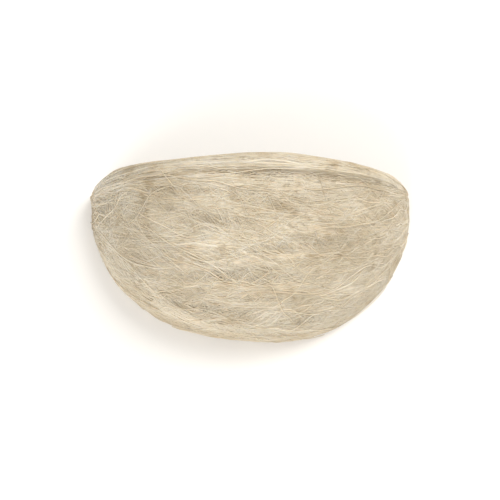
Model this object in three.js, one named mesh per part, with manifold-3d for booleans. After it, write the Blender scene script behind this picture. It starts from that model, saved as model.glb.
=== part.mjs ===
// An edible bird's nest: a swiftlet's half-cup of dried strands, cleaned and pressed for sale.
// It lies on the flat side that was cemented to the cave wall, with its mouth open along +Y.
// Millimetres. +X runs from foot to foot, +Y out of the mouth, +Z away from the flat side.
import * as THREE from "three";
import { mergeVertices } from "three/addons/utils/BufferGeometryUtils.js";
import Module from "manifold-3d";

// Driving dimensions
const HALF_WIDTH = 42; // from the middle to the outside of a foot
const WALL_DEPTH = 32; // how far the belly stands off the flat side
const BELLY_DROP = 39.5; // from the mouth down to the lowest point of the belly
const PLAN_ROUNDNESS = 2.05; // superellipse power of the mouth's outline, 2 is an ellipse
const BELLY_ROUNDNESS = 2.4; // the same for the drop from the mouth to the belly
const AXIS_SINK = 18; // the strands fan out round an axis this far behind the flat side

// Slow waves of a thing that was built by beak: height, waves along and round, and a start
const SWELLS = [
  [0.7, 7.1, 2.3, 0.4],
  [0.4, 16.3, -3.1, 2.0],
];

// The wall between the inside and the outside
const RIM_THICKNESS = 3.6;
const BELLY_THICKNESS = 5.2;
const FOOT_THICKNESS = 15; // what the wall would reach at the axis: the ends are thick
const FOOTWARD_POWER = 3;

// The layers of strands that show as steps on the outside
const LAYERS = 8; // in a quarter turn, part of which is cut off behind the flat side
const ROWS_PER_LAYER = 4;
const LAYER_STEP = 0.8;
const OUTER_STATIONS = 54; // from foot to foot
const INNER_ROWS = 15;
const INNER_STATIONS = 30;
const WANDERS = [
  [0.04, 9.4, 0.6],
  [0.018, 23, 0],
];

// The mouth's edge
const RIM_LIFT = 1.6; // the middle of the rim stands this far above the level of the axis
const RIM_FOOT_DROP = 2.2; // and its ends this far below
const RIM_WAVE = 0.6;
const RIM_WAVE_LENGTH = 7.5;
const RIM_BEAD = 2.0; // radius of the rolled edge in the middle
const RIM_BEAD_FOOT = 3.2;
const RIM_BEAD_PROUD = 0.5; // the rolled edge stands this far off the belly
const RIM_BEAD_SIDES = 8;
const RIM_BEAD_STEPS = 48;
const MOUTH_COLUMNS = 28;
const FOOT_PAD = [4.6, 8, 4.8]; // half sizes of the pad that held each end to the wall
const FOOT_PAD_TOP = -1; // level of the pads' tops
const FOOT_PAD_PROUD = 0.2;
const FOOT_PAD_MESH = [14, 10];

// Bundles of strands that stand proud of the layers: half their width, and half their height
const BUNDLE_SIDES = 6;
const BUNDLE_STEPS = 12;
const BUNDLE_WAVE = 0.05;
const BUNDLE_TIP = 0.3; // size of the ends, as a share of the middle's
const BUNDLE_END_DIVE = 1.5; // how deep the ends dive into the wall
const OUTER_BUNDLES = 9;
const OUTER_BUNDLE = [1.9, 0.9];
const OUTER_BUNDLE_LIFT = 0.1;
const OUTER_BUNDLE_SKEW = 0.12;
const INNER_BUNDLES = 7;
const INNER_BUNDLE = [1.3, 0.9];
const INNER_BUNDLE_SINK = 0.2;
const INNER_BUNDLE_REACH = 0.25;

const CUT = 70; // side of the blocks that trim the flat side and the mouth
const QUARTER_TURN = Math.PI / 2;
const GOLDEN = 0.618034; // spreads the bundles without a pattern

const wasm = await Module();
wasm.setup();

const mix = (a, b, t) => a + (b - a) * t;
const smooth = (t) => t * t * (3 - 2 * t);

// A closed three.js geometry as a manifold-3d solid.
function solidOf(geometry) {
  const bare = geometry.clone();
  bare.deleteAttribute("normal");
  bare.deleteAttribute("uv");
  const merged = mergeVertices(bare, 1e-4);
  return new wasm.Manifold(
    new wasm.Mesh({
      numProp: 3,
      vertProperties: merged.attributes.position.array,
      triVerts: new Uint32Array(merged.index.array),
    }),
  );
}

// A manifold-3d solid as a three.js geometry.
function geometryOf(solid) {
  const { numProp, vertProperties, triVerts } = solid.getMesh();
  const points = [];
  for (let i = 0; i < vertProperties.length; i += numProp) {
    points.push(vertProperties[i], vertProperties[i + 1], vertProperties[i + 2]);
  }
  return new THREE.BufferGeometry()
    .setAttribute("position", new THREE.Float32BufferAttribute(points, 3))
    .setIndex(new THREE.BufferAttribute(triVerts, 1));
}

// The strands run from foot to foot, in planes that fan out round an axis behind the flat side.
// A place on the nest is given by along, 0 at the left end of the axis and 1 at the right, and by
// turn, 0 at the level of the mouth and more towards the belly.
function direction(along, turn) {
  const spread = Math.sin(Math.PI * along);
  return new THREE.Vector3(
    -Math.cos(Math.PI * along),
    -spread * Math.sin(turn),
    spread * Math.cos(turn),
  );
}

// The point that lies a distance from the middle of the axis.
function pointAt(along, turn, distance) {
  return direction(along, turn).multiplyScalar(distance).add(new THREE.Vector3(0, 0, -AXIS_SINK));
}

// Below 1 inside the smooth half-cup, 1 on it.
function cupLevel(p) {
  const plan =
    Math.abs(p.x / HALF_WIDTH) ** PLAN_ROUNDNESS + Math.abs(p.z / WALL_DEPTH) ** PLAN_ROUNDNESS;
  return plan ** (BELLY_ROUNDNESS / PLAN_ROUNDNESS) + Math.abs(p.y / BELLY_DROP) ** BELLY_ROUNDNESS;
}

// How far the smooth half-cup reaches from the middle of the axis, found by halving.
function cupReach(along, turn) {
  let near = 0;
  let far = 2 * HALF_WIDTH;
  for (let i = 0; i < 24; i++) {
    const half = (near + far) / 2;
    if (cupLevel(pointAt(along, turn, half)) < 1) near = half;
    else far = half;
  }
  return near;
}

function outerReach(along, turn) {
  return SWELLS.reduce(
    (reach, [height, alongWaves, turnWaves, start]) =>
      reach + height * Math.sin(alongWaves * along + turnWaves * turn + start),
    cupReach(along, turn),
  );
}

function thickness(along, turn) {
  const bellyward = smooth(Math.min(1, Math.abs(turn) / QUARTER_TURN));
  const footward = Math.abs(2 * along - 1) ** FOOTWARD_POWER;
  return mix(mix(RIM_THICKNESS, BELLY_THICKNESS, bellyward), FOOT_THICKNESS, footward);
}

function innerReach(along, turn) {
  return outerReach(along, turn) - thickness(along, turn);
}

// A ball whose poles lie on the axis, with every vertex moved to its place.
function ball(rows, stations, place) {
  const sphere = new THREE.SphereGeometry(1, 4 * rows, stations).rotateZ(QUARTER_TURN);
  const position = sphere.attributes.position;
  for (let i = 0; i < position.count; i++) {
    const v = new THREE.Vector3().fromBufferAttribute(position, i).normalize();
    const along = Math.acos(THREE.MathUtils.clamp(-v.x, -1, 1)) / Math.PI;
    const atPole = along < 1e-3 || along > 1 - 1e-3;
    const turn = atPole ? 0 : Math.atan2(-v.y, v.z);
    position.setXYZ(i, ...place(atPole ? Math.round(along) : along, turn).toArray());
  }
  return solidOf(sphere);
}

// Each layer rises towards its lower edge and then steps back down to the older layer under it.
function layerStep(along, turn) {
  const phase = ((turn / QUARTER_TURN) * LAYERS + 100 + 0.5 / ROWS_PER_LAYER) % 1;
  return LAYER_STEP * (phase - 0.5) * Math.sin(Math.PI * along);
}

// The layers aren't level: their edges wander a little on the way from foot to foot.
function wander(along) {
  return WANDERS.reduce((sum, [size, waves, start]) => sum + size * Math.sin(waves * along + start), 0);
}

function outerBall() {
  return ball(LAYERS * ROWS_PER_LAYER, OUTER_STATIONS, (along, turn) => {
    const moved = turn + wander(along) * Math.sin(2 * turn);
    return pointAt(along, moved, outerReach(along, moved) + layerStep(along, turn));
  });
}

function innerBall() {
  return ball(INNER_ROWS, INNER_STATIONS, (along, turn) =>
    pointAt(along, turn, innerReach(along, turn)),
  );
}

// The level of the mouth's edge over a point of the plan.
function rimLevel(x, z) {
  const out = THREE.MathUtils.clamp(z / WALL_DEPTH, 0, 1);
  const arch = mix(-RIM_FOOT_DROP, RIM_LIFT, smooth(out ** 0.8));
  return arch + RIM_WAVE * Math.sin(x / RIM_WAVE_LENGTH + 0.9) * out;
}

// The block of air above the mouth, with the rim's own waves on its lower face.
function mouthBlock() {
  const block = new THREE.BoxGeometry(2 * CUT, CUT, CUT, MOUTH_COLUMNS, 1, MOUTH_COLUMNS / 2);
  block.translate(0, 0, CUT / 2 - 10);
  const position = block.attributes.position;
  for (let i = 0; i < position.count; i++) {
    const isLower = position.getY(i) < 0;
    position.setY(i, isLower ? rimLevel(position.getX(i), position.getZ(i)) : CUT);
  }
  return solidOf(block);
}

// A rod bent along a curve, with closed ends. Its section is an ellipse that lies along the wall:
// sectionAt gives half its width on the wall and half its height off the wall.
function rod(curve, sectionAt, sides, steps) {
  const cylinder = new THREE.CylinderGeometry(1, 1, steps, sides, steps);
  const position = cylinder.attributes.position;
  for (let i = 0; i < position.count; i++) {
    const t = THREE.MathUtils.clamp(position.getY(i) / steps + 0.5, 0, 1);
    const [halfWidth, halfHeight] = sectionAt(t);
    const point = curve.getPointAt(t);
    const tangent = curve.getTangentAt(t);
    const side = tangent.clone().cross(point).normalize();
    const off = side.clone().cross(tangent);
    point.addScaledVector(side, position.getX(i) * halfWidth);
    point.addScaledVector(off, position.getZ(i) * halfHeight);
    position.setXYZ(i, ...point.toArray());
  }
  return solidOf(cylinder);
}

// The rolled edge of the mouth, thin in the middle and thick where it meets the feet.
function rimBead() {
  const radiusAt = (t) => mix(RIM_BEAD, RIM_BEAD_FOOT, Math.abs(2 * t - 1) ** 4);
  const points = Array.from({ length: RIM_BEAD_STEPS + 1 }, (_, i) => {
    const t = i / RIM_BEAD_STEPS;
    const angle = mix(-0.02, 1.02, t) * Math.PI;
    const d = new THREE.Vector3(-Math.cos(angle), 0, Math.sin(angle));
    const outline = cupLevel(d) ** (-1 / BELLY_ROUNDNESS);
    d.multiplyScalar(outline - radiusAt(t) + RIM_BEAD_PROUD);
    d.y = rimLevel(d.x, d.z);
    return d;
  });
  const sectionAt = (t) => [radiusAt(t), radiusAt(t)];
  return rod(new THREE.CatmullRomCurve3(points), sectionAt, RIM_BEAD_SIDES, RIM_BEAD_STEPS);
}

// The pads where the strands of both ends were cemented to the wall.
function footPads() {
  const [halfWide, halfHigh, halfDeep] = FOOT_PAD;
  return [-1, 1].map((side) =>
    solidOf(
      new THREE.SphereGeometry(1, ...FOOT_PAD_MESH)
        .scale(halfWide, halfHigh, halfDeep)
        .translate(side * (HALF_WIDTH - halfWide + FOOT_PAD_PROUD), FOOT_PAD_TOP - halfHigh, 0),
    ),
  );
}

// A flat bundle of strands laid on one face of the wall, sunk to part of its own thickness.
// Its ends dive into the wall: inward is -1 for the outer face and 1 for the lining.
function bundle(from, to, size, reach, inward) {
  const points = Array.from({ length: BUNDLE_STEPS + 1 }, (_, i) => {
    const t = i / BUNDLE_STEPS;
    const along = mix(from.along, to.along, t);
    const turn = mix(from.turn, to.turn, t) + BUNDLE_WAVE * Math.sin(11 * along + 9 * from.turn);
    const dive = inward * BUNDLE_END_DIVE * Math.abs(2 * t - 1) ** 6;
    return pointAt(along, turn, reach(along, turn) + dive);
  });
  const taper = (t) => mix(BUNDLE_TIP, 1, Math.sin(Math.PI * mix(0.05, 0.95, t)) ** 0.6);
  const sectionAt = (t) => size.map((half) => half * taper(t));
  return rod(new THREE.CatmullRomCurve3(points), sectionAt, BUNDLE_SIDES, BUNDLE_STEPS);
}

// The outside's bundles run almost level, each a little askew.
function outerBundles() {
  return Array.from({ length: OUTER_BUNDLES }, (_, i) => {
    const turn = mix(0.1, 1.0, (i * GOLDEN) % 1);
    const start = mix(0.16, 0.32, (i * 0.37) % 1);
    const end = mix(0.68, 0.84, (i * 0.53) % 1);
    const skew = OUTER_BUNDLE_SKEW * Math.sin(2.4 * i + 0.7);
    return bundle(
      { along: start, turn: turn - skew },
      { along: end, turn: turn + skew },
      OUTER_BUNDLE,
      (along, at) => outerReach(along, at) + OUTER_BUNDLE_LIFT,
      -1,
    );
  });
}

// The inside's bundles cross one another, as the loose lining of the cup does.
function innerBundles() {
  return Array.from({ length: INNER_BUNDLES }, (_, i) => {
    const turn = mix(0.2, 0.95, (i * GOLDEN + 0.3) % 1);
    const reach = INNER_BUNDLE_REACH * (i % 2 === 0 ? 1 : -1);
    const start = mix(0.22, 0.34, (i * 0.41) % 1);
    return bundle(
      { along: start, turn: THREE.MathUtils.clamp(turn - reach, 0.1, 1.1) },
      { along: 1 - start, turn: THREE.MathUtils.clamp(turn + reach, 0.1, 1.1) },
      INNER_BUNDLE,
      (along, at) => innerReach(along, at) + INNER_BUNDLE_SINK,
      1,
    );
  });
}

// The whole nest as one solid, trimmed flat where it was scraped off the wall.
function nestSolid() {
  const below = solidOf(new THREE.BoxGeometry(2 * CUT, 2 * CUT, CUT).translate(0, 0, -CUT / 2));
  const cup = outerBall().subtract(innerBall()).subtract(mouthBlock());
  const joined = [rimBead(), ...footPads(), ...outerBundles(), ...innerBundles()]
    .reduce((whole, piece) => whole.add(piece), cup)
    .subtract(below);
  // The largest skin is the nest. The others are bubbles of air under crossing bundles.
  return joined.decompose().reduce((a, b) => (a.volume() > b.volume() ? a : b));
}

const driedStrands = new THREE.MeshStandardMaterial({
  name: "dried_strands",
  color: 0xd9ccb0,
  roughness: 0.55,
  metalness: 0,
});

const geometry = geometryOf(nestSolid());
geometry.computeBoundingBox();
const box = geometry.boundingBox;
const middle = box.getCenter(new THREE.Vector3());
geometry.translate(-middle.x, -middle.y, -box.min.z);
geometry.computeVertexNormals();

const nest = new THREE.Mesh(geometry, driedStrands);
nest.name = "nest";

const part = new THREE.Group();
part.add(nest);

export default part;
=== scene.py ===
# %% [markdown]
# An edible bird's nest, dressed for the camera.
# A swiftlet builds its nest from strands of saliva that dry into a thin half-cup. What the eye
# sees is thousands of fine, glassy, ivory strands that run from foot to foot and are cemented
# to each other. The CAD solid gives the cup its form and size. Here the same form gets a finer
# skin, and the strands are laid over it by Geometry Nodes.

# %% Load the frame
import math

import bmesh
import bpy
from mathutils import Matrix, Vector, noise


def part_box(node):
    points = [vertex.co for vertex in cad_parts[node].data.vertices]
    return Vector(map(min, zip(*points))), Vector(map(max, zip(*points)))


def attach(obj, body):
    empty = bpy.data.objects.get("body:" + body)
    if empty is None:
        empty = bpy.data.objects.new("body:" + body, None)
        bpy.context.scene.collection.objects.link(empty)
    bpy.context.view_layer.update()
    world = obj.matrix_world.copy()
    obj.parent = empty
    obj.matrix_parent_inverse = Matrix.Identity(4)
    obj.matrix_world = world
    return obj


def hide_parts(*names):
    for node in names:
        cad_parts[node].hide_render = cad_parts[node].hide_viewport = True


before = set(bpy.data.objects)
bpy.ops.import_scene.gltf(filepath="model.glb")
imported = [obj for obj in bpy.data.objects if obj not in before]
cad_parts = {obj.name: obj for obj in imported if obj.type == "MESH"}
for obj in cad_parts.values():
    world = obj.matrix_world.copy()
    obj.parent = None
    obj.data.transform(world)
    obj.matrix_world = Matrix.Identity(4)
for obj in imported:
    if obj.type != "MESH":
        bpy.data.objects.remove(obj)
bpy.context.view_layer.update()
low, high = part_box("nest")
size = high - low
MM = 0.001
print("nest, mm:", [round(s / MM, 1) for s in size])

# %% [markdown]
# The strands of the belly lie in planes that fan out round one axis. The axis runs parallel to
# X, level with the mouth, and lies behind the flat side, so the strands don't meet in a point:
# they run out over the ends of the nest, one beside the other. A place on the nest is given by
# "along", 0 at the left end of the axis and 1 at the right, and by "turn", 0 level with the
# mouth and more towards the belly. These are the same two numbers that shape the CAD solid.
# REACH is a distance from the axis that is outside the nest everywhere.

# %% Where the axis is
AXIS_ABOVE_BELLY = 40.34 * MM
AXIS_SINK = 18.0 * MM
AXIS_OFF_CENTRE = -0.05 * MM
LAST_TURN = math.atan2(AXIS_ABOVE_BELLY, AXIS_SINK)
mouth_middle = Vector((AXIS_OFF_CENTRE, low.y + AXIS_ABOVE_BELLY, 0))
REACH = 1.3 * size.x
print("middle of the mouth's flat edge, mm:", [round(c / MM, 1) for c in mouth_middle])

# %% [markdown]
# Node trees are easier to read as Python. A Wire is the value of one socket, and arithmetic on
# wires adds Math nodes: 1 - mask reads as it would on paper.


# %% A value in a node tree
class Wire:
    """The value of one output socket, with Python's arithmetic."""

    def __init__(self, graph, socket):
        self.graph = graph
        self.socket = socket

    def math(self, operation, *values):
        return self.graph.add("ShaderNodeMath", {"operation": operation}, dict(enumerate(values)))[0]

    def __add__(self, other):
        return self.math("ADD", self, other)

    def __sub__(self, other):
        return self.math("SUBTRACT", self, other)

    def __rsub__(self, other):
        return self.math("SUBTRACT", other, self)

    def __mul__(self, other):
        return self.math("MULTIPLY", self, other)

    def __truediv__(self, other):
        return self.math("DIVIDE", self, other)

    def __pow__(self, other):
        return self.math("POWER", self, other)

    def sin(self):
        return self.math("SINE", self)

    def cos(self):
        return self.math("COSINE", self)

    def abs(self):
        return self.math("ABSOLUTE", self)

    def floor(self):
        return self.math("FLOOR", self)

    def fraction(self):
        return self.math("FRACT", self)

    def at_least(self, other):
        return self.math("MAXIMUM", self, other)

    def clamp(self, least, most):
        return self.math("MINIMUM", self.at_least(least), most)

    def below(self, other):
        """1 where the value is below the other one, and 0 elsewhere."""
        return self.math("LESS_THAN", self, other)

    __radd__ = __add__
    __rmul__ = __mul__


# %% [markdown]
# Any other node comes from one call that gives its kind, its settings, such as the stops of a
# colour ramp, and the values or wires of its sockets. The call gives back the node's outputs.


# %% A node tree
class Graph:
    """A node tree that adds a node, its settings and its links in one call."""

    def __init__(self, tree):
        self.tree = tree

    def add(self, kind, settings=None, sockets=None):
        node = self.tree.nodes.new(kind)
        for name, value in (settings or {}).items():
            if name == "stops":
                self.set_stops(node.color_ramp, value)
            else:
                setattr(node, name, value)
        for key, value in (sockets or {}).items():
            socket = self.find(node.inputs, key)
            if isinstance(value, Wire):
                self.tree.links.new(value.socket, socket)
            else:
                socket.default_value = value
        return [Wire(self, s) for s in node.outputs if s.enabled]

    def z_of(self, vector):
        return self.add("ShaderNodeSeparateXYZ", None, {"Vector": vector})[2]

    @staticmethod
    def find(sockets, key):
        if isinstance(key, int):
            return sockets[key]
        return next(s for s in sockets if s.enabled and s.name == key)

    @staticmethod
    def set_stops(ramp, stops):
        while len(ramp.elements) < len(stops):
            ramp.elements.new(0.5)
        for element, (position, colour) in zip(ramp.elements, stops):
            element.position = position
            element.color = (*colour, 1)


# %% [markdown]
# The dried strands are ivory, warmer where they are thick, and paler where they are thin, worn or full of
# air. Where the wall lies deep in its gaps it is darker, and that is painted shade. One tone from 0 to 1
# picks the colour from a ramp of three ivories.
# It is made of wide soft clouds, the strand's own tone, a few darker specks and fine lines. The lines are
# noise stretched along X. They stand for strands too thin to model, so the same noise drives the bump and
# the roughness. Within a few millimetres of the floor the nest is a little darker.
# The strands are slightly see-through, so light goes in and comes out a little further on: that
# is subsurface scattering. Real transmission would be the other way, but a dry nest is cloudy
# and lets no light straight through. The shine is soft, like dry gelatin.

# %% Tone of the dried strands
CLOUDS_PER_METRE = 70.0
CLOUD_CONTRAST = 1.8
CLOUD_START = -0.4
SPECKS_PER_METRE = 210.0
SPECK_START = 0.55
SPECK_MOST = 0.2
SPECK_SHADE = 1.6
FOOT_HEIGHT = 9.0 * MM
FOOT_SHADE = 0.14


def mottle(graph, place, per_metre, detail, roughness=0.5):
    """Smooth noise from 0 to 1. The more per metre, the finer it is."""
    sockets = {"Vector": place, "Scale": per_metre, "Detail": detail, "Roughness": roughness}
    return graph.add("ShaderNodeTexNoise", None, sockets)[0]


def strand_tone(graph, place, lines, own_tone, own_share, start, line_share):
    """How pale the finish is at a point, from 0 to 1."""
    clouds = mottle(graph, place, CLOUDS_PER_METRE, 5.0) * CLOUD_CONTRAST + CLOUD_START
    specks = (mottle(graph, place, SPECKS_PER_METRE, 3.0) - SPECK_START).clamp(0.0, SPECK_MOST)
    foot = (1 - graph.z_of(place) * (1 / FOOT_HEIGHT)).clamp(0.0, 1.0)
    tone = clouds * (1 - own_share) + own_tone * own_share - foot * FOOT_SHADE
    return tone + start + (lines - 0.5) * line_share - specks * SPECK_SHADE


# %% Finish of the dried strands
IVORY_PALE = (0.82, 0.74, 0.61)
IVORY = (0.65, 0.55, 0.405)
IVORY_DEEP = (0.44, 0.34, 0.215)
IVORIES = [(0.08, IVORY_DEEP), (0.5, IVORY), (0.92, IVORY_PALE)]
LINES_PER_METRE = 2400.0
LINE_STRETCH = (0.1, 1.0, 1.0)
SMOOTHEST = 0.3
ROUGHNESS_RANGE = 0.25
SCATTER_RADIUS = (1.0, 0.72, 0.45)
SCATTER_DEPTH = 0.4 * MM


def strand_material(name, tone_attribute, own_share, start, line_share, line_depth):
    material = bpy.data.materials.new(name)
    material.use_nodes = True
    graph = Graph(material.node_tree)
    graph.tree.nodes.clear()
    place = graph.add("ShaderNodeTexCoord")[3]
    stretched = graph.add("ShaderNodeMapping", None, {"Vector": place, "Scale": LINE_STRETCH})[0]
    lines = mottle(graph, stretched, LINES_PER_METRE, 3.0, 0.6)
    # On the wall this attribute is height, which paints shade into the gaps and makes the tops paler.
    own_tone = graph.add("ShaderNodeAttribute", {"attribute_name": tone_attribute})[2]
    tone = strand_tone(graph, place, lines, own_tone, own_share, start, line_share)
    sockets = {"Strength": 0.6, "Distance": line_depth, "Height": lines}
    bump = graph.add("ShaderNodeBump", None, sockets)[0]
    sockets = {
        "Base Color": graph.add("ShaderNodeValToRGB", {"stops": IVORIES}, {"Fac": tone})[0],
        "Roughness": SMOOTHEST + lines * ROUGHNESS_RANGE,
        "Normal": bump,
        "IOR": 1.5,
        "Subsurface Weight": 0.3,
        "Subsurface Radius": SCATTER_RADIUS,
        "Subsurface Scale": SCATTER_DEPTH,
    }
    shader = graph.add("ShaderNodeBsdfPrincipled", None, sockets)[0]
    graph.add("ShaderNodeOutputMaterial", None, {"Surface": shader})
    print(name, "nodes:", len(graph.tree.nodes))
    return material


# The wall's own tone is painted shade: darker in its gaps, paler on its tops. The whole wall also starts
# a little darker than the strands on it.
wall_finish = strand_material(
    "dried_wall", "height", own_share=0.25, start=-0.08, line_share=0.9, line_depth=0.25 * MM
)
strand_finish = strand_material(
    "dried_strands", "tint", own_share=0.5, start=0.0, line_share=0.3, line_depth=0.05 * MM
)

# %% [markdown]
# Geometry Nodes also need words for vectors, for values that are stored on the points, and for
# the inputs of a tree. Each input has a name, so that every coat of strands sets its own sizes.


# %% Words for Geometry Nodes
class GeometryGraph(Graph):
    """A Geometry Nodes tree with named inputs, and one mesh that comes out of it."""

    def __init__(self, name, inputs):
        super().__init__(bpy.data.node_groups.new(name, "GeometryNodeTree"))
        interface = self.tree.interface
        interface.new_socket("Mesh", in_out="OUTPUT", socket_type="NodeSocketGeometry")
        for input_name, (kind, default) in inputs.items():
            socket = interface.new_socket(input_name, in_out="INPUT", socket_type=kind)
            if default is not None:
                socket.default_value = default
        entry = self.tree.nodes.new("NodeGroupInput")
        self.given = {s.name: Wire(self, s) for s in entry.outputs}

    def give_out(self, mesh):
        leave = self.tree.nodes.new("NodeGroupOutput")
        self.tree.links.new(mesh.socket, leave.inputs[0])

    def vector(self, x, y, z):
        return self.add("ShaderNodeCombineXYZ", None, {"X": x, "Y": y, "Z": z})[0]

    def vector_math(self, operation, *values):
        settings = {"operation": operation}
        return self.add("ShaderNodeVectorMath", settings, dict(enumerate(values)))[0]

    def summed(self, a, b):
        return self.vector_math("ADD", a, b)

    def scaled(self, vector, factor):
        sockets = {"Vector": vector, "Scale": factor}
        return self.add("ShaderNodeVectorMath", {"operation": "SCALE"}, sockets)[0]

    def position(self):
        return self.add("GeometryNodeInputPosition")[0]

    def geometry_of(self, object_wire):
        return self.add("GeometryNodeObjectInfo", None, {"Object": object_wire})[4]

    def store(self, geometry, kind, name, value):
        settings = {"data_type": kind, "domain": "POINT"}
        sockets = {"Geometry": geometry, "Name": name, "Value": value}
        return self.add("GeometryNodeStoreNamedAttribute", settings, sockets)[0]

    def stored(self, kind, name):
        return self.add("GeometryNodeInputNamedAttribute", {"data_type": kind}, {"Name": name})[0]


# %% [markdown]
# Every coat of strands has the same inputs, and only their values differ. Shortest, Longest and
# End are shares of the way from foot to foot. Turns, leans, wander and the width of a lock are
# in radians, and thickness, bow and height off the wall are in metres. The seed is fixed, so
# each run lays the same strands.

# %% Inputs of the strand tree
SIZES = {
    "Strands": ("NodeSocketInt", 300),
    "Strands per Lock": ("NodeSocketInt", 6),
    "Lock Width": ("NodeSocketFloat", 0.03),
    "Points": ("NodeSocketInt", 30),
    "Sides": ("NodeSocketInt", 4),
    "Thickness": ("NodeSocketFloat", 0.2 * MM),
    "Flatness": ("NodeSocketFloat", 1.0),
    "Shortest": ("NodeSocketFloat", 0.2),
    "Longest": ("NodeSocketFloat", 0.5),
    "First Turn": ("NodeSocketFloat", -0.06),
    "Last Turn": ("NodeSocketFloat", LAST_TURN),
    "Lean": ("NodeSocketFloat", 0.05),
    "Wander": ("NodeSocketFloat", 0.05),
    "Calm Turn": ("NodeSocketFloat", 0.25),
    "Lowest": ("NodeSocketFloat", -0.1 * MM),
    "Highest": ("NodeSocketFloat", 0.2 * MM),
    "Bow": ("NodeSocketFloat", 0.0),
    "Paleness": ("NodeSocketFloat", 0.0),
    "End": ("NodeSocketFloat", 0.02),
    "Seed": ("NodeSocketInt", 1),
    "Wall": ("NodeSocketObject", None),
    "Finish": ("NodeSocketMaterial", None),
}
print("inputs of every coat:", len(SIZES))

# %% [markdown]
# All strands come from one pattern of Geometry Nodes. Hair would be the other way, but the
# strands have to be real mesh that can be exported. First every strand gets its own numbers. The
# strands come in locks, as the bird lays them: those of one lock share a start, a length and a
# lean, and lie a little apart. The locks are spread by fixed steps and not by chance, so they
# leave no bare patch. Close to the first turn, which is the rim, a strand isn't free to lean: it
# runs along the edge.

# %% A strand's own numbers
TURN_STEP = 0.7549
CENTRE_STEP = 0.5698
SEED_STEP = 0.37
SEED_GAP = 31
WAVE_STARTS = 900.0
FIRST_CENTRE = 0.06
CENTRE_RANGE = 0.88
LEAST_FREEDOM = 0.15
TAPER = 9.0
TIP = 0.12


class StrandNumbers(GeometryGraph):
    """Straight lines, one for each strand, and the numbers that make every strand different."""

    def random(self, least, most, salt, number):
        """A random number. Each use has a salt of its own, so no two uses draw alike."""
        seed = self.given["Seed"] * SEED_GAP + salt
        sockets = {"Min": least, "Max": most, "ID": number, "Seed": seed}
        return self.add("FunctionNodeRandomValue", {"data_type": "FLOAT"}, sockets)[0]

    def of_strand(self, least, most, salt):
        """A random number that is the same all along one strand."""
        return self.random(least, most, salt, self.strand)

    def of_lock(self, least, most, salt):
        """A random number that all the strands of one lock share."""
        return self.random(least, most, salt, self.lock)

    def spread(self, step):
        """A number from 0 to 1 for each lock, spread more evenly than chance would spread it."""
        return (self.lock * step + self.given["Seed"] * SEED_STEP).fraction()

    def wobble(self, waves, draw, salt):
        """Smooth noise along the strand, from -1 to 1. The draw is of_strand or of_lock."""
        start = draw(0.0, WAVE_STARTS, salt)
        sockets = {"W": self.t * waves + start, "Scale": 1.0, "Detail": 1.0}
        value = self.add("ShaderNodeTexNoise", {"noise_dimensions": "1D"}, sockets)[0]
        return (value - 0.5) * 2

    def copied_lines(self):
        """One straight line for each strand. Here t is 0 at its start and 1 at its end."""
        line = self.add("GeometryNodeCurvePrimitiveLine")[0]
        sockets = {"Curve": line, "Count": self.given["Points"]}
        line = self.add("GeometryNodeResampleCurve", None, sockets)[0]
        sockets = {"Geometry": line, "Amount": self.given["Strands"]}
        lines, self.strand = self.add("GeometryNodeDuplicateElements", {"domain": "SPLINE"}, sockets)
        self.lock = (self.strand / self.given["Strands per Lock"]).floor()
        self.t = self.add("GeometryNodeSplineParameter")[0]
        return lines

    def way_along(self):
        """How far along the nest each point lies, from 0 to 1."""
        given = self.given
        length = self.of_lock(given["Shortest"], given["Longest"], 1) * self.of_strand(0.75, 1.1, 2)
        centre = FIRST_CENTRE + CENTRE_RANGE * self.spread(CENTRE_STEP)
        centre = centre + self.of_strand(-0.04, 0.04, 4)
        return (centre + (self.t - 0.5) * length).clamp(given["End"], 1 - given["End"])

    def way_round(self):
        """The turn of each point: its lock's place, lean and waves, and the strand's own."""
        given = self.given
        from_first = (given["Last Turn"] - given["First Turn"]) * self.spread(TURN_STEP)
        freedom = (from_first / given["Calm Turn"]).clamp(LEAST_FREEDOM, 1.0)
        lean = self.of_lock(-1.0, 1.0, 6) * given["Lean"] + self.of_strand(-0.5, 0.5, 7) * given["Wander"]
        shared_wave = self.wobble(3.0, self.of_lock, 8) * given["Wander"]
        own_wave = self.wobble(5.0, self.of_strand, 9) * given["Lock Width"]
        own_place = self.of_strand(-1.0, 1.0, 10) * given["Lock Width"]
        swing = (self.t - 0.5) * lean + shared_wave
        return given["First Turn"] + from_first + swing * freedom + own_wave + own_place

    def radius(self):
        """Half of the strand's thickness, uneven along it and small at both ends."""
        taper = ((0.5 - (self.t - 0.5).abs()) * TAPER).clamp(TIP, 1.0)
        uneven = 1 + self.wobble(9.0, self.of_strand, 13) * 0.3
        return self.given["Thickness"] * 0.5 * self.of_strand(0.6, 1.35, 14) * uneven * taper

    def tint(self):
        """The strand's own tone, for its finish."""
        tint = self.of_lock(0.35, 0.65, 15) + self.of_strand(-0.2, 0.2, 16) + self.given["Paleness"]
        return tint + self.wobble(5.0, self.of_strand, 17) * 0.3


# %% [markdown]
# Then the strands are laid. Each point of a line becomes a ray that finds its place on the wall.
# Points that miss the wall or land well below the floor are taken away, and so are the short
# stubs that this leaves. The line is then blurred a little, as a drying strand pulls straight,
# and swept into a thin rod with pointed ends.

# %% Strands laid on a wall
STUB = 1.5 * MM
DEEPEST = 1.0 * MM


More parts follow.
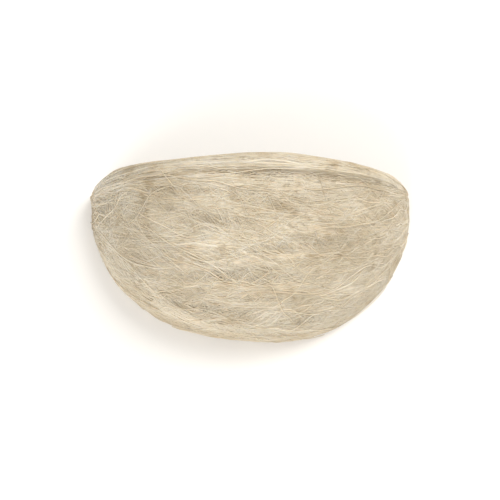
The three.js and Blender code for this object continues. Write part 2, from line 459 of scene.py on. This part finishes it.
class StrandGraph(StrandNumbers):
    """Strands laid on a wall. The aim function gives each point of a strand its ray."""

    def __init__(self, name, extra_inputs, aim):
        super().__init__(name, SIZES | extra_inputs)
        lines = self.copied_lines()
        self.along = self.way_along()
        self.turn = self.way_round()
        lines = self.placed_on_wall(lines, aim)
        lines = self.cleared(lines)
        lines = self.pulled_straight(lines)
        self.give_out(self.swept(lines))

    def placed_on_wall(self, lines, aim):
        """Drops each point where its ray meets the wall, and marks the points that miss."""
        given = self.given
        source, direction, outward = aim(self)
        sockets = {
            "Target Geometry": self.geometry_of(given["Wall"]),
            "Source Position": source,
            "Ray Direction": direction,
            "Ray Length": 2 * REACH,
        }
        is_hit, hit, normal = self.add("GeometryNodeRaycast", None, sockets)[:3]
        missed = (1 - is_hit).at_least(self.z_of(hit).below(-DEEPEST))
        bow = (self.t * math.pi).sin() * given["Bow"] * self.of_strand(0.3, 1.0, 11)
        lift = self.of_strand(given["Lowest"], given["Highest"], 12) + bow
        place = self.summed(hit, self.scaled(outward, lift))
        lines = self.store(lines, "FLOAT", "tint", self.tint())
        lines = self.store(lines, "BOOLEAN", "missed", missed)
        lines = self.store(lines, "FLOAT_VECTOR", "off_wall", normal)
        sockets = {"Curve": lines, "Radius": self.radius()}
        lines = self.add("GeometryNodeSetCurveRadius", None, sockets)[0]
        return self.add("GeometryNodeSetPosition", None, {"Geometry": lines, "Position": place})[0]

    def cleared(self, lines):
        """Takes away the points that missed, and then the stubs that are left."""
        sockets = {"Geometry": lines, "Selection": self.stored("BOOLEAN", "missed")}
        lines = self.add("GeometryNodeDeleteGeometry", {"domain": "POINT"}, sockets)[0]
        length = self.add("GeometryNodeSplineLength")[0]
        sockets = {"Geometry": lines, "Selection": length.below(STUB)}
        return self.add("GeometryNodeDeleteGeometry", {"domain": "CURVE"}, sockets)[0]

    def pulled_straight(self, lines):
        """Evens out the line's points, as a drying strand pulls straight."""
        sockets = {"Value": self.position(), "Iterations": 2}
        pulled = self.add("GeometryNodeBlurAttribute", {"data_type": "FLOAT_VECTOR"}, sockets)[0]
        return self.add("GeometryNodeSetPosition", None, {"Geometry": lines, "Position": pulled})[0]

    def swept(self, lines):
        """Sweeps a round section along the lines and presses it flat against the wall."""
        given = self.given
        sockets = {"Resolution": given["Sides"], "Radius": 1.0}
        profile = self.add("GeometryNodeCurvePrimitiveCircle", None, sockets)[0]
        lines = self.store(lines, "FLOAT_VECTOR", "middle", self.position())
        own_radius = self.add("GeometryNodeInputRadius")[0]
        sockets = {"Curve": lines, "Profile Curve": profile, "Scale": own_radius, "Fill Caps": True}
        rods = self.add("GeometryNodeCurveToMesh", None, sockets)[0]
        middle = self.stored("FLOAT_VECTOR", "middle")
        off_wall = self.stored("FLOAT_VECTOR", "off_wall")
        from_middle = self.vector_math("SUBTRACT", self.position(), middle)
        height = self.vector_math("DOT_PRODUCT", from_middle, off_wall)
        pressed = self.scaled(off_wall, height * (given["Flatness"] - 1))
        rods = self.add("GeometryNodeSetPosition", None, {"Geometry": rods, "Offset": pressed})[0]
        rods = self.add("GeometryNodeSetShadeSmooth", None, {"Geometry": rods})[0]
        rods = self.add("GeometryNodeRealizeInstances", None, {"Geometry": rods})[0]
        sockets = {"Geometry": rods, "Material": given["Finish"]}
        return self.add("GeometryNodeSetMaterial", None, sockets)[0]


# %% [markdown]
# Two ways to aim the rays. The belly and the lining are hit by rays towards or from the axis.
# The feet are thick, so towards them the first turn moves down, clear of the rim. A tiny tilt
# keeps the lowest rays from running exactly along the flat side.

# %% Aiming at the belly and the lining
TINY_TILT = 0.001


def aim_at_axis(graph):
    given = graph.given
    along = graph.along
    inside = given["Inside"]
    footward = (along * 2 - 1) ** 2.0
    turn = graph.turn.at_least(given["First Turn"] + footward * given["Foot Turn"])
    spread = (along * math.pi).sin()
    left_or_right = (along * math.pi).cos() * -1
    ray = graph.vector(left_or_right, spread * turn.sin() * -1, spread * turn.cos() + TINY_TILT)
    axis_middle = graph.summed(tuple(mouth_middle), graph.vector(0.0, 0.0, given["Axis Sink"] * -1))
    source = graph.summed(axis_middle, graph.scaled(ray, REACH * (1 - inside)))
    return source, graph.scaled(ray, inside * 2 - 1), graph.scaled(ray, 1 - inside * 2)


strands_on_wall = StrandGraph(
    "strands on the wall",
    {
        "Foot Turn": ("NodeSocketFloat", 0.14),
        "Axis Sink": ("NodeSocketFloat", AXIS_SINK),
        "Inside": ("NodeSocketBool", False),
    },
    aim_at_axis,
).tree
print("sockets of the wall's tree:", len(strands_on_wall.interface.items_tree))

# %% [markdown]
# The rim is hit from all round by rays towards its own middle line, so that strands can wrap
# over the edge from the belly to the lining. The middle line is drawn first, as a guide curve
# with the same formula as the CAD rim. It runs on a little below the floor at both feet, so that
# the strands end at the floor and not above it. Each ray starts a fixed way off the line.

# %% The rim's middle line
RIM_HALF_WIDTH = 42.0 * MM
RIM_DEPTH = 32.0 * MM
RIM_ROUNDNESS = 2.05
RIM_RADIUS = 2.0 * MM
RIM_FOOT_RADIUS = 3.2 * MM
RIM_PROUD = 0.5 * MM
RIM_LIFT = 1.6 * MM
RIM_FOOT_DROP = 2.2 * MM
RIM_RISE = 0.8
RIM_RUN_ON = 0.012
GUIDE_STEPS = 60


def mix(a, b, share):
    return a + (b - a) * share


def rim_level(z):
    """How far the rim's middle line lies above the axis where it is z off the flat side."""
    out = min(1.0, max(0.0, z) / RIM_DEPTH) ** RIM_RISE
    return mix(-RIM_FOOT_DROP, RIM_LIFT, out * out * (3 - 2 * out))


def rim_point(t):
    """A point on the middle line of the rolled edge, as the CAD solid has it."""
    x, z = -math.cos(math.pi * t), math.sin(math.pi * t)
    level = abs(x / RIM_HALF_WIDTH) ** RIM_ROUNDNESS + abs(z / RIM_DEPTH) ** RIM_ROUNDNESS
    radius = mix(RIM_RADIUS, RIM_FOOT_RADIUS, abs(2 * t - 1) ** 4)
    reach = level ** (-1 / RIM_ROUNDNESS) - radius + RIM_PROUD
    return mouth_middle + Vector((x * reach, rim_level(z * reach), z * reach))


def rim_guide():
    """The rim's middle line as a curve, from below the floor at one foot to the other."""
    steps = [i / GUIDE_STEPS for i in range(GUIDE_STEPS + 1)]
    points = [rim_point(mix(-RIM_RUN_ON, 1 + RIM_RUN_ON, step)) for step in steps]
    curve = bpy.data.curves.new("rim_guide", "CURVE")
    curve.dimensions = "3D"
    spline = curve.splines.new("POLY")
    spline.points.add(len(points) - 1)
    for target, point in zip(spline.points, points):
        target.co = (*point, 1)
    return bpy.data.objects.new("rim_guide", curve)


guide = rim_guide()
bpy.context.scene.collection.objects.link(guide)
print("rim's middle, mm:", [round(c / MM, 1) for c in rim_point(0.5)])

# %% Aiming at the rim
RIM_CLEAR = 9.0 * MM
FIRST_RIM_TURN = -1.0
LAST_RIM_TURN = 4.1


def aim_at_rim(graph):
    sockets = {"Curves": graph.geometry_of(graph.given["Guide"]), "Factor": graph.along}
    outputs = graph.add("GeometryNodeSampleCurve", {"mode": "FACTOR"}, sockets)
    middle = next(w for w in outputs if w.socket.name == "Position")
    from_axis = graph.summed(middle, tuple(-mouth_middle))
    across = graph.vector_math("MULTIPLY", from_axis, (1.0, 0.0, 1.0))
    across = graph.vector_math("NORMALIZE", across)
    turn = graph.turn.clamp(FIRST_RIM_TURN, LAST_RIM_TURN)
    ray = graph.summed(graph.scaled(across, turn.cos()), graph.vector(0.0, turn.sin(), 0.0))
    return graph.summed(middle, graph.scaled(ray, RIM_CLEAR)), graph.scaled(ray, -1.0), ray


strands_on_rim = StrandGraph(
    "strands on the rim", {"Guide": ("NodeSocketObject", None)}, aim_at_rim
).tree
print("sockets of the rim's tree:", len(strands_on_rim.interface.items_tree))

# %% [markdown]
# A modifier that holds the tree is set up through each input's identifier. A live modifier
# could be changed later, but an export needs the mesh itself, so the result is kept as a plain
# mesh. Whatever would go through the floor is pressed flat on it.

# %% Helpers that lay strands
def triangles(piece):
    return sum(len(p.vertices) - 2 for p in piece.data.polygons)


def apply_modifiers(piece):
    """Turns the piece's evaluated form into its plain mesh."""
    evaluated = piece.evaluated_get(bpy.context.evaluated_depsgraph_get())
    mesh = bpy.data.meshes.new_from_object(evaluated)
    piece.modifiers.clear()
    piece.data = mesh
    return piece


def new_piece(name, mesh):
    piece = bpy.data.objects.new(name, mesh)
    bpy.context.scene.collection.objects.link(piece)
    return piece


def lay_strands(name, wall, tree=strands_on_wall, **sizes):
    """Makes one piece of strands on a wall, as a plain mesh that lies in the frame."""
    piece = new_piece(name, bpy.data.meshes.new(name))
    modifier = piece.modifiers.new("strands", "NODES")
    modifier.node_group = tree
    values = {"Wall": wall, "Finish": strand_finish, "Guide": guide}
    values |= {key.replace("_", " "): value for key, value in sizes.items()}
    for item in tree.interface.items_tree:
        if item.in_out == "INPUT" and item.name in values:
            modifier[item.identifier] = values[item.name]
    apply_modifiers(piece)
    for vertex in piece.data.vertices:
        vertex.co.z = max(vertex.co.z, 0.0)
    print(name, "triangles:", triangles(piece))
    return piece


# %% [markdown]
# The wall is the CAD solid's own form with a finer, softer skin. A voxel remesh turns the long
# CAD facets into even squares. The solid's broad ridges show less on the real nest, where
# strands fill the steps, so a smoothing that fades out near the rim and near the flat side
# lowers them. Plain smoothing would be shorter, but it would also melt those crisp edges.

# %% Wall: an even skin
SAME_POINT = 0.001 * MM
FIRST_VOXEL = 0.5 * MM
EDGE_KEPT = 4.0 * MM
EDGE_FADE = 5.0 * MM
RIDGE_ROUNDS = 90


def merged_copy(name, source):
    """A copy of the CAD mesh whose facets share their corners, so that it is one closed skin."""
    copy = bmesh.new()
    copy.from_mesh(source.data)
    bmesh.ops.remove_doubles(copy, verts=copy.verts, dist=SAME_POINT)
    mesh = bpy.data.meshes.new(name)
    copy.to_mesh(mesh)
    copy.free()
    return new_piece(name, mesh)


def soften(piece, factor, rounds, vertex_group=""):
    modifier = piece.modifiers.new("soften", "SMOOTH")
    modifier.factor = factor
    modifier.iterations = rounds
    modifier.vertex_group = vertex_group
    return apply_modifiers(piece)


def remesh_and_soften(piece, voxel, rounds):
    remesh = piece.modifiers.new("even", "REMESH")
    remesh.mode = "VOXEL"
    remesh.voxel_size = voxel
    return soften(piece, 0.5, rounds)


def below_rim(point):
    """How far a point lies below the rim's middle line, along the nest's own depth."""
    from_axis = point - mouth_middle
    return rim_level(from_axis.z) - from_axis.y


def lower_ridges(piece):
    """Smooths the CAD's broad ridges down, but keeps the rim and the flat side's edge crisp."""
    group = piece.vertex_groups.new(name="away from the edges")
    for vertex in piece.data.vertices:
        share = min((below_rim(vertex.co) - EDGE_KEPT) / EDGE_FADE, vertex.co.z / EDGE_FADE)
        group.add([vertex.index], min(1.0, max(0.0, share)), "REPLACE")
    soften(piece, 0.5, RIDGE_ROUNDS, group.name)
    piece.vertex_groups.clear()


wall = remesh_and_soften(merged_copy("nest_wall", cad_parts["nest"]), FIRST_VOXEL, 3)
lower_ridges(wall)
print("even skin, triangles:", triangles(wall))

# %% [markdown]
# Wide flat bands of strands are laid on the skin, and a second remesh melts them into one body,
# the way wet strands dry into each other. A boolean union would keep every sharp edge between
# them, which no dried nest has.

# %% Wall: bands melted in
LAST_VOXEL = 0.44 * MM


def melt_together(wall, bands):
    joined = bmesh.new()
    joined.from_mesh(wall.data)
    for band in bands:
        joined.from_mesh(band.data)
        bpy.data.objects.remove(band)
    joined.to_mesh(wall.data)
    joined.free()
    return remesh_and_soften(wall, LAST_VOXEL, 2)


belly_bands = lay_strands(
    "belly_bands", wall, Strands=220, Strands_per_Lock=2, Points=40, Sides=6, Thickness=0.9 * MM,
    Shortest=0.3, Longest=0.7, Lean=0.2, Wander=0.07, Lowest=-0.3 * MM, Highest=-0.12 * MM,
    Flatness=0.6, Seed=3,
)
lining_bands = lay_strands(
    "lining_bands", wall, Strands=80, Strands_per_Lock=2, Points=30, Sides=6, Thickness=1.2 * MM,
    Shortest=0.3, Longest=0.6, Last_Turn=1.5, Lean=0.8, Wander=0.08, Lowest=-0.3 * MM,
    Highest=0.1 * MM, Flatness=0.7, Axis_Sink=0.0, Inside=True, Seed=4,
)
rim_bands = lay_strands(
    "rim_bands", wall, strands_on_rim, Strands=46, Strands_per_Lock=2, Points=50, Sides=6,
    Thickness=1.1 * MM, Shortest=0.4, Longest=0.8, First_Turn=-0.6, Last_Turn=3.6, Lean=0.8,
    Wander=0.3, Calm_Turn=0.01, Lock_Width=0.15, Lowest=-0.3 * MM, Highest=0.0, Flatness=0.7,
    End=0.03, Seed=6,
)
melt_together(wall, [belly_bands, lining_bands, rim_bands])
print("melted wall, triangles:", triangles(wall))

# %% [markdown]
# The strands of the wall are matted, and a shallow crease runs under the rolled rim. Every
# vertex moves a little by noise that is stretched along the strands. Bump alone would be
# quicker, but the outline and the exported mesh would stay smooth.

# %% Wall: matting and crease
MATTING = 0.12 * MM
COARSE_SHARE = 0.5
COARSE_LENGTH = 9.0 * MM
COARSE_PER_TURN = 22
COARSE_SLICE = 3.0
FINE_SHARE = 0.6
FINE_LENGTH = 5.0 * MM
FINE_PER_TURN = 55
FINE_SLICE = 7.0
CREASE = 0.07 * MM
CREASE_BELOW_RIM = 3.0 * MM
CREASE_WIDTH = 0.9 * MM
STILL_EDGE = 1.5 * MM


def matted(point):
    """Height of the matted strands at a point, about -1 to 1."""
    from_axis = point - mouth_middle
    turn = math.atan2(-from_axis.y, from_axis.z + AXIS_SINK)
    coarse = Vector((point.x / COARSE_LENGTH, turn * COARSE_PER_TURN, COARSE_SLICE))
    fine = Vector((point.x / FINE_LENGTH, turn * FINE_PER_TURN, FINE_SLICE))
    return COARSE_SHARE * noise.noise(coarse) + FINE_SHARE * noise.noise(fine)


def crease(point):
    """Depth of the crease under the rolled edge at a point, 0 to 1."""
    return math.exp(-(((below_rim(point) - CREASE_BELOW_RIM) / CREASE_WIDTH) ** 2))


def raise_matting(piece):
    """Moves the skin by the matting and the crease. The flat side's edge stays still."""
    vertices = piece.data.vertices
    normals = [v.normal.copy() for v in vertices]
    for vertex, normal in zip(vertices, normals):
        above_floor = min(1.0, vertex.co.z / STILL_EDGE)
        relief = MATTING * matted(vertex.co) - CREASE * crease(vertex.co)
        vertex.co += normal * relief * above_floor
        vertex.co.z = max(vertex.co.z, 0.0)


raise_matting(wall)
print("crown of the matted wall, mm:", round(max(v.co.z for v in wall.data.vertices) / MM, 1))

# %% [markdown]
# How high a vertex stands over a smoothed copy of the wall is stored as a tone, so that the finish is
# paler on the tops and deeper in the gaps. That is painted shade in the gaps and a little painted light
# on the tops. A pointiness node would be shorter, but it compares a point only with its nearest
# neighbours and doesn't see a whole band.

# %% Wall: painted shade and finish
TONE_ROUNDS = 14
TONE_RELIEF = 0.6 * MM
PALEST_TOP = 0.6


def store_painted_shade(piece):
    """Stores how high each vertex stands over the smoothed wall, as a tone: painted shade in the gaps and
    paler tops.
    """
    smoothed = soften(new_piece("smoothed", piece.data.copy()), 0.8, TONE_ROUNDS)
    tone = piece.data.attributes.new("height", "FLOAT", "POINT")
    for i, (vertex, flat) in enumerate(zip(piece.data.vertices, smoothed.data.vertices)):
        stands = (vertex.co - flat.co).dot(vertex.normal)
        tone.data[i].value = min(PALEST_TOP, max(0.0, 0.5 + stands / TONE_RELIEF))
    bpy.data.objects.remove(smoothed)


store_painted_shade(wall)
wall.data.shade_smooth()
wall.data.materials.clear()
wall.data.materials.append(wall_finish)
print("finished wall, triangles:", triangles(wall))

# %% [markdown]
# Strands are laid on a copy of the wall whose foot goes on below the floor, like a skirt. On the
# wall itself the last rays would miss, and a plain strip would show along the floor. Strands
# that run down the skirt are pressed flat at the floor, as they are cut on the real nest.

# %% A skirt for the strands
SKIRT_EDGE = 0.2 * MM
SKIRT_DEPTH = 3.0 * MM


def with_skirt(wall):
    """A copy of the wall whose flat side is moved down below the floor."""
    skirt = new_piece("skirt", wall.data.copy())
    for vertex in skirt.data.vertices:
        if vertex.co.z < SKIRT_EDGE:
            vertex.co.z -= SKIRT_DEPTH
    return skirt


skirt = with_skirt(wall)
print("lowest of the skirt, mm:", round(min(v.co.z for v in skirt.data.vertices) / MM, 1))

# %% [markdown]
# The belly has three coats: wide strands first, then the ones that show most, then hair-fine
# ones on top. The first run almost level, and each coat leans and wanders a little more, so that
# the last one is a thin net over the others. A few pale strays arch off the surface, so that the
# outline isn't clean. One coat of equal strands would be simpler, but it looks combed.

# %% Belly strands
belly_cords = lay_strands(
    "belly_cords", skirt, Strands=430, Strands_per_Lock=4, Points=30, Sides=5, Thickness=0.52 * MM,
    Shortest=0.25, Longest=0.6, First_Turn=0.03, Lean=0.24, Wander=0.07, Lowest=-0.2 * MM,
    Highest=0.05 * MM, Flatness=0.75, Seed=31,
)
belly_strands = lay_strands(
    "belly_strands", skirt, Strands=1300, Strands_per_Lock=5, Points=24, Sides=4,
    Thickness=0.32 * MM, Shortest=0.12, Longest=0.42, First_Turn=0.03, Lean=0.42, Wander=0.09,
    Lowest=-0.05 * MM, Highest=0.2 * MM, Seed=5,
)
belly_hairs = lay_strands(
    "belly_hairs", skirt, Strands=3700, Strands_per_Lock=4, Points=12, Sides=3,
    Thickness=0.18 * MM, Shortest=0.04, Longest=0.2, First_Turn=0.0, Lean=0.6, Wander=0.12,
    Lowest=0.05 * MM, Highest=0.3 * MM, Paleness=0.1, Seed=8,
)
belly_strays = lay_strands(
    "belly_strays", skirt, Strands=80, Strands_per_Lock=1, Points=22, Sides=4, Thickness=0.17 * MM,
    Shortest=0.06, Longest=0.3, Lean=0.5, Wander=0.12, Lowest=0.0, Highest=0.1 * MM,
    Bow=0.8 * MM, Paleness=0.3, Seed=9,
)

# %% [markdown]
# The rim is the newest, palest and smoothest part: long strands wound round the rolled edge.
# They use the other tree. A twisted curve would give the same turns, but it wouldn't lie down on
# the uneven wall.

# %% Rim strands
rim_cords = lay_strands(
    "rim_cords", skirt, strands_on_rim, Strands=150, Strands_per_Lock=4, Points=48, Sides=4,
    Thickness=0.5 * MM, Shortest=0.3, Longest=0.75, First_Turn=-0.7, Last_Turn=3.7, Lean=0.7,
    Wander=0.4, Calm_Turn=0.01, Lock_Width=0.2, Lowest=-0.15 * MM, Highest=0.1 * MM, Paleness=0.14,
    End=0.0, Seed=11,
)
rim_hairs = lay_strands(
    "rim_hairs", skirt, strands_on_rim, Strands=420, Strands_per_Lock=5, Points=28, Sides=3,
    Thickness=0.24 * MM, Shortest=0.12, Longest=0.45, First_Turn=-0.8, Last_Turn=3.8, Lean=0.9,
    Wander=0.5, Calm_Turn=0.01, Lock_Width=0.25, Lowest=0.0, Highest=0.25 * MM, Paleness=0.26,
    End=0.0, Seed=12,
)

# %% [markdown]
# The lining is a loose net. Its strands cross one another and stand off the wall in low bows.
# The Inside input turns the rays round, so that they start at the axis and go outwards. Last,
# the guide and the skirt go, because they were only there to aim at.

# %% Lining strands
lining_net = lay_strands(
    "lining_net", skirt, Strands=440, Strands_per_Lock=3, Points=22, Sides=4,
    Thickness=0.42 * MM, Shortest=0.2, Longest=0.5, Last_Turn=1.5, Lean=0.9, Wander=0.1,
    Lowest=-0.1 * MM, Highest=0.5 * MM, Bow=1.2 * MM, Axis_Sink=0.0, Inside=True, Seed=17,
)
lining_hairs = lay_strands(
    "lining_hairs", skirt, Strands=800, Strands_per_Lock=2, Points=16, Sides=3,
    Thickness=0.24 * MM, Shortest=0.1, Longest=0.4, Last_Turn=1.5, Lean=1.3, Wander=0.12,
    Lowest=0.0, Highest=0.7 * MM, Bow=1.8 * MM, Axis_Sink=0.0, Inside=True, Seed=23,
)
bpy.data.objects.remove(guide)
bpy.data.objects.remove(skirt)

# %% [markdown]
# The real nest is one cemented thing, so everything rides on the one body, and the wall stands
# for the CAD solid.

# %% The whole nest
pieces = [
    wall, belly_cords, belly_strands, belly_hairs, belly_strays, rim_cords, rim_hairs, lining_net,
    lining_hairs,
]
for piece in pieces:
    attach(piece, "root")
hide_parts("nest")
print("triangles in all:", sum(triangles(piece) for piece in pieces))

# %% [markdown]
# The nest lies on a wide pale floor. The wide key light comes from the right, as in the
# photograph, and a second one fills the front. Small lamps would draw every strand in hard
# lines. A pale world all round keeps the shadows soft.

# %% Floor and light
FLOOR_SIDE = 6.0
FLOOR_COLOUR = (0.92, 0.905, 0.88, 1)
KEY_PLACE = Vector((0.3, 0.3, 0.5))
KEY_POWER = 3.7
KEY_SIDE = 0.4
KEY_COLOUR = (1.0, 0.985, 0.96)
FILL_PLACE = Vector((-0.25, -0.5, 0.4))
FILL_POWER = 3.2
FILL_SIDE = 0.5
FILL_COLOUR = (1.0, 0.99, 0.975)
STUDIO_COLOUR = (1.0, 0.99, 0.97, 1)
STUDIO_STRENGTH = 0.5


def look_at(thing, target):
    thing.rotation_euler = (target - thing.location).to_track_quat("-Z", "Y").to_euler()


def add_floor():
    bpy.ops.mesh.primitive_plane_add(size=FLOOR_SIDE, location=(0, 0, 0))
    floor = bpy.context.object
    floor.name = "floor"
    material = bpy.data.materials.new("floor")
    material.use_nodes = True
    shader = material.node_tree.nodes["Principled BSDF"]
    shader.inputs["Base Color"].default_value = FLOOR_COLOUR
    shader.inputs["Roughness"].default_value = 0.8
    floor.data.materials.append(material)


def add_light(name, place, power, side, target, colour):
    data = bpy.data.lights.new(name, "AREA")
    data.energy = power
    data.size = side
    data.color = colour
    light = new_piece(name, data)
    light.location = place
    look_at(light, target)


def add_studio():
    world = bpy.data.worlds.new("studio")
    world.use_nodes = True
    background = world.node_tree.nodes["Background"]
    background.inputs["Color"].default_value = STUDIO_COLOUR
    background.inputs["Strength"].default_value = STUDIO_STRENGTH
    bpy.context.scene.world = world
    bpy.context.scene.view_settings.view_transform = "Standard"


centre = (low + high) / 2
add_floor()
add_light("key", KEY_PLACE, KEY_POWER, KEY_SIDE, centre, KEY_COLOUR)
add_light("fill", FILL_PLACE, FILL_POWER, FILL_SIDE, centre, FILL_COLOUR)
add_studio()
print("key light off the nest, mm:", round((KEY_PLACE - centre).length / MM))

# %% [markdown]
# The photograph looks square at the nest's belly, a little from below the rim, so the rim shows
# as an arch over the belly. This nest lies on its flat side, so the same view is from above, with
# the mouth pointing away. The lens is long, so that the near belly isn't drawn too large.

# %% Camera
VIEW_ELEVATION = math.radians(80)
NEST_SHARE = 0.66
LENS = 120.0
SENSOR = 36.0


def add_camera(target):
    data = bpy.data.cameras.new("camera")
    data.lens = LENS
    data.sensor_width = SENSOR
    camera = new_piece("camera", data)
    distance = size.x / NEST_SHARE * LENS / SENSOR
    back = Vector((0, -math.cos(VIEW_ELEVATION), math.sin(VIEW_ELEVATION)))
    camera.location = target + back * distance
    look_at(camera, target)
    bpy.context.scene.camera = camera


add_camera(centre)
print("camera above the floor, mm:", round(bpy.context.scene.camera.location.z / MM))
